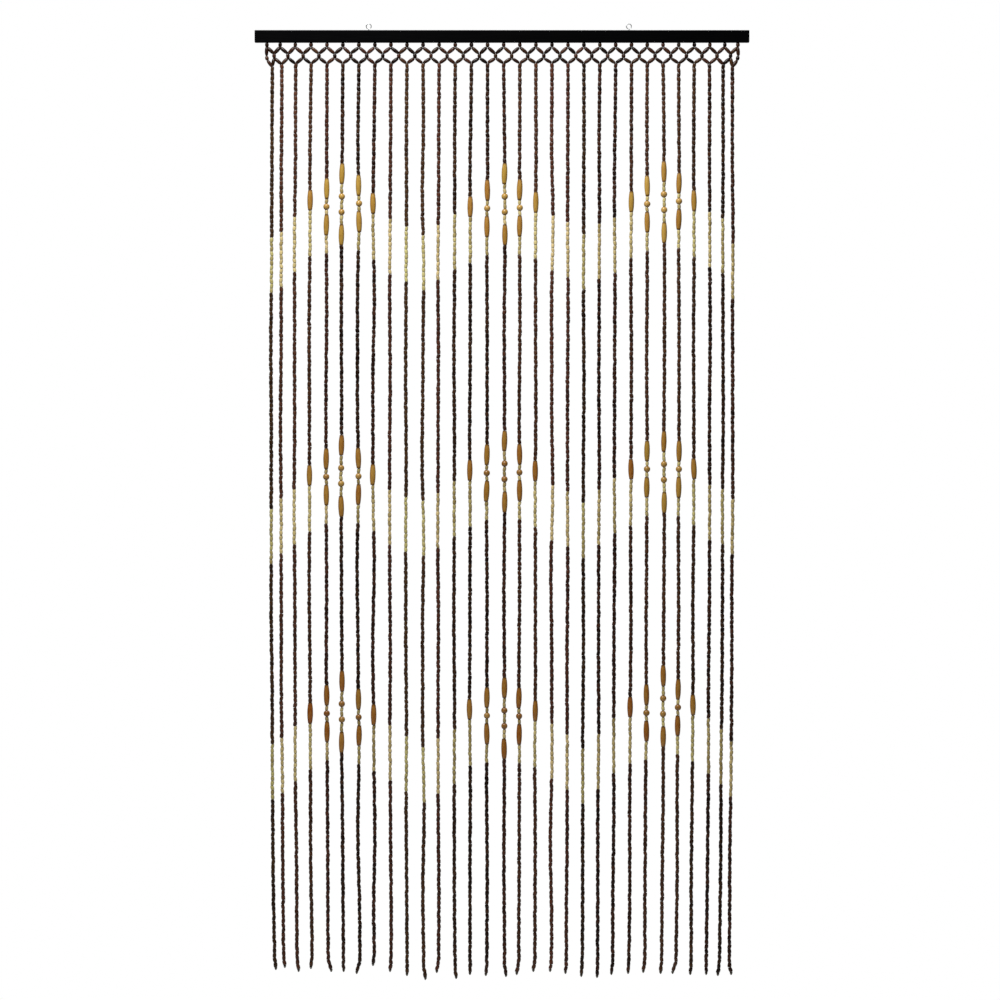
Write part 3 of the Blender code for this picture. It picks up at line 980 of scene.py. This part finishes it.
FLOOR_Z = -2.0
FLOOR_SIDE_X = 3.0
FLOOR_FRONT_Y = -4.0
FLOOR_BACK_Y = 1.3
SURROUNDING_LIGHT = 0.05
CURTAIN_MIDDLE_Z = -0.85
VIEW_WIDTH = 1.82
VIEW_X = -0.0036
VIEW_Z = -0.8436
CAMERA_DISTANCE = 6.0


def studio_floor():
    """Pale painted floor: off-white and matt, with a faint mottle."""
    material, tree, shader = new_material("pale painted floor", {"Roughness": 0.7})
    place = add_node(tree, "ShaderNodeTexCoord").outputs["Object"]
    mottle = add_node(tree, "ShaderNodeTexNoise", {"Vector": place, "Scale": 3.0, "Detail": 4.0})
    colour = add_node(
        tree, "ShaderNodeMix",
        {0: mottle.outputs[0], 6: linear_colour("e2e2de"), 7: linear_colour("eeeeeb")},
        data_type="RGBA",
    )
    tree.links.new(colour.outputs[2], shader.inputs["Base Color"])
    mesh = bpy.data.meshes.new("floor")
    corners = [
        (-FLOOR_SIDE_X, FLOOR_FRONT_Y, FLOOR_Z), (FLOOR_SIDE_X, FLOOR_FRONT_Y, FLOOR_Z),
        (FLOOR_SIDE_X, FLOOR_BACK_Y, FLOOR_Z), (-FLOOR_SIDE_X, FLOOR_BACK_Y, FLOOR_Z),
    ]
    mesh.from_pydata(corners, [], [(0, 1, 2, 3)])
    mesh.materials.append(material)
    floor = bpy.data.objects.new("floor", mesh)
    bpy.context.scene.collection.objects.link(floor)


def white_surroundings():
    """White to the camera, and softer as light on the curtain."""
    world = bpy.data.worlds.new("white studio")
    world.use_nodes = True
    tree = world.node_tree
    tree.nodes.clear()
    white = (1, 1, 1, 1)
    seen = add_node(tree, "ShaderNodeBackground", {"Color": white, "Strength": 1.0})
    light = add_node(
        tree, "ShaderNodeBackground", {"Color": white, "Strength": SURROUNDING_LIGHT},
    )
    rays = add_node(tree, "ShaderNodeLightPath")
    mixed = add_node(
        tree, "ShaderNodeMixShader",
        {0: rays.outputs["Is Camera Ray"], 1: light.outputs[0], 2: seen.outputs[0]},
    )
    add_node(tree, "ShaderNodeOutputWorld", {"Surface": mixed.outputs[0]})
    bpy.context.scene.world = world


def soft_light(name, place, size, watts):
    """A square softbox that faces the middle of the curtain."""
    lamp = bpy.data.lights.new(name, "AREA")
    lamp.size = size
    lamp.energy = watts
    light = bpy.data.objects.new(name, lamp)
    light.location = place
    bpy.context.scene.collection.objects.link(light)
    aim = light.constraints.new("TRACK_TO")
    aim.target = curtain_middle
    aim.track_axis = "TRACK_NEGATIVE_Z"
    aim.up_axis = "UP_Y"


studio_floor()
white_surroundings()
curtain_middle = bpy.data.objects.new("curtain_middle", None)
curtain_middle.location = (0, STRING_LINE, CURTAIN_MIDDLE_Z)
bpy.context.scene.collection.objects.link(curtain_middle)
soft_light("key_softbox", (-0.6, -1.4, 1.4), size=0.9, watts=93)
soft_light("fill_softbox", (1.7, -2.4, 1.4), size=1.4, watts=7)
soft_light("back_softbox", (0.8, 2.2, 2.2), size=1.6, watts=60)

lens = bpy.data.cameras.new("photo_view")
lens.sensor_width = 36
lens.lens = lens.sensor_width * CAMERA_DISTANCE / VIEW_WIDTH
camera = bpy.data.objects.new("photo_view", lens)
camera.location = (VIEW_X, STRING_LINE - CAMERA_DISTANCE, VIEW_Z)
camera.rotation_euler = (math.radians(90), 0, 0)
bpy.context.scene.collection.objects.link(camera)
bpy.context.scene.camera = camera
bpy.context.scene.view_settings.view_transform = "Standard"
